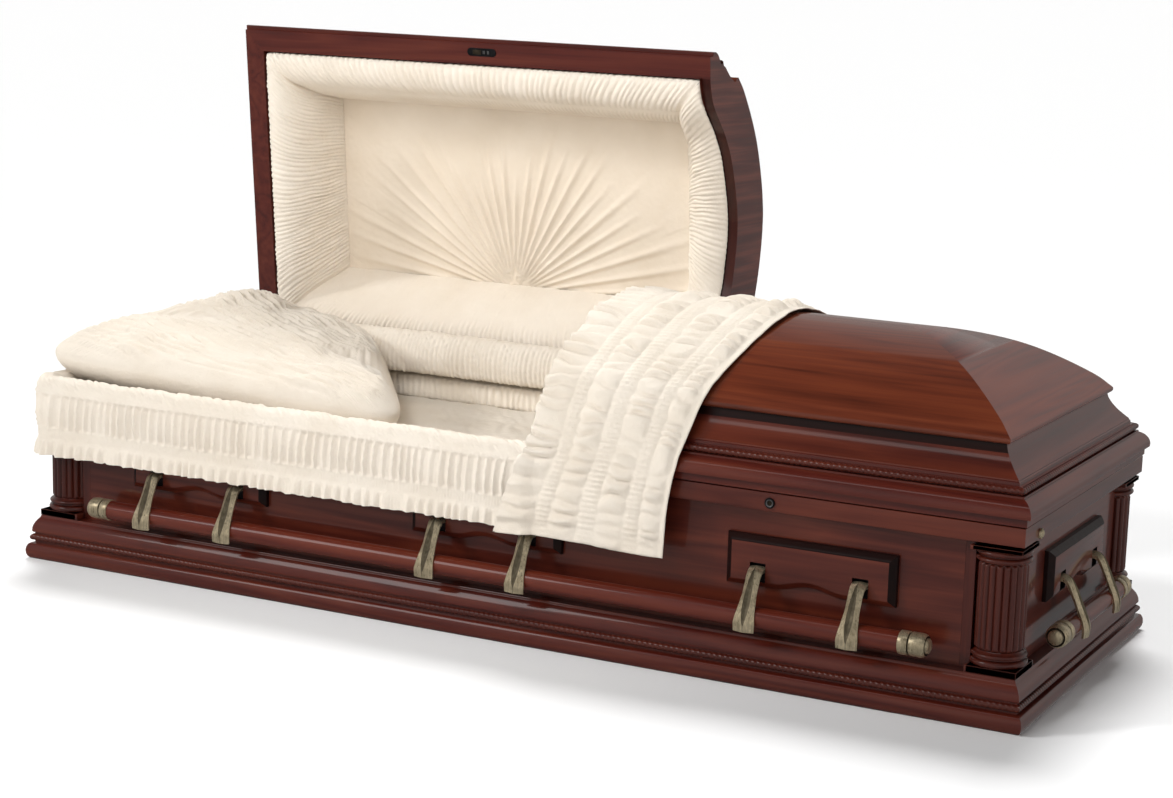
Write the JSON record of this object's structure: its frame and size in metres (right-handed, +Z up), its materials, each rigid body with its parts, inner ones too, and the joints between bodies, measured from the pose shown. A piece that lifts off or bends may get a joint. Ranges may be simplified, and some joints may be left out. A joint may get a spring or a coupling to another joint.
{
  "type": "casket",
  "caption": "Wooden half-couch casket with an open head lid, a closed foot lid under a cloth throw, swing bar handles, fluted corner columns and a shirred lining.",
  "frame": {"origin": "centre of the flat underside", "axes": "+X to the foot end, along the length; -Y to the front, +Y to the hinge side; +Z up"},
  "size_m": [2.1566, 1.0017, 1.0629],
  "materials": {
    "mahogany": "gloss lacquer",
    "antique_brass": "antiqued satin",
    "black_steel": "satin black",
    "ivory_crepe": "matt shirred crepe"
  },
  "bodies": {
    "casket_body": {"base_moulding": "mahogany", "side_board_front": "mahogany", "side_board_back": "mahogany", "end_board_head": "mahogany", "end_board_foot": "mahogany", "floor_board": "mahogany", "top_rail": "mahogany", "corner_post_head_front": "mahogany", "corner_column_head_front": "mahogany", "corner_post_head_back": "mahogany", "corner_column_head_back": "mahogany", "corner_post_foot_front": "mahogany", "corner_column_foot_front": "mahogany", "corner_post_foot_back": "mahogany", "corner_column_foot_back": "mahogany", "handle_plate_front_1": "mahogany", "handle_plate_front_2": "mahogany", "handle_plate_front_3": "mahogany", "handle_plate_foot": "mahogany", "handle_plate_back_1": "mahogany", "handle_plate_back_2": "mahogany", "handle_plate_back_3": "mahogany", "handle_plate_head": "mahogany", "lid_lock": "black_steel", "end_knob": "antique_brass", "hinge_head": "antique_brass", "hinge_foot": "antique_brass", "mattress": "ivory_crepe", "lining_walls": "ivory_crepe", "lining_roll_back": "ivory_crepe", "pillow": "ivory_crepe", "skirt": "ivory_crepe"},
    "head_lid_body": {"head_lid": "mahogany", "lid_latch_plate": "black_steel", "lid_cap_panel": "ivory_crepe", "lid_border": "ivory_crepe", "lid_hinge_roll": "ivory_crepe"},
    "foot_lid_body": {"foot_lid": "mahogany", "throw": "ivory_crepe"},
    "handle_front": {"handle_bar_front": "mahogany", "handle_arm_front_1_left": "antique_brass", "handle_arm_front_1_right": "antique_brass", "handle_arm_front_2_left": "antique_brass", "handle_arm_front_2_right": "antique_brass", "handle_arm_front_3_left": "antique_brass", "handle_arm_front_3_right": "antique_brass"},
    "handle_foot": {"handle_bar_foot": "mahogany", "handle_arm_foot_left": "antique_brass", "handle_arm_foot_right": "antique_brass"},
    "handle_back": {"handle_bar_back": "mahogany", "handle_arm_back_1_left": "antique_brass", "handle_arm_back_1_right": "antique_brass", "handle_arm_back_2_left": "antique_brass", "handle_arm_back_2_right": "antique_brass", "handle_arm_back_3_left": "antique_brass", "handle_arm_back_3_right": "antique_brass"},
    "handle_head": {"handle_bar_head": "mahogany", "handle_arm_head_left": "antique_brass", "handle_arm_head_right": "antique_brass"}
  },
  "joints": [
    {"name": "head_lid_hinge", "type": "hinge", "parent": "casket_body", "child": "head_lid_body", "pos_m": [0, 0.362, 0.334], "axis": [1, 0, 0], "range_deg": [0, 85], "deforming": ["skirt", "pillow", "lining_roll_back"]},
    {"name": "foot_lid_hinge", "type": "hinge", "parent": "casket_body", "child": "foot_lid_body", "pos_m": [0, 0.362, 0.334], "axis": [-1, 0, 0], "range_deg": [0, 85]},
    {"name": "handle_front_swing", "type": "hinge", "parent": "casket_body", "child": "handle_front", "pos_m": [0, -0.3463, 0.205], "axis": [-1, 0, 0], "range_deg": [0, 45]},
    {"name": "handle_back_swing", "type": "hinge", "parent": "casket_body", "child": "handle_back", "pos_m": [0, 0.3463, 0.205], "axis": [1, 0, 0], "range_deg": [0, 45]},
    {"name": "handle_foot_swing", "type": "hinge", "parent": "casket_body", "child": "handle_foot", "pos_m": [1.0243, 0, 0.205], "axis": [0, -1, 0], "range_deg": [0, 45]},
    {"name": "handle_head_swing", "type": "hinge", "parent": "casket_body", "child": "handle_head", "pos_m": [-1.0243, 0, 0.205], "axis": [0, 1, 0], "range_deg": [0, 45]}
  ]
}
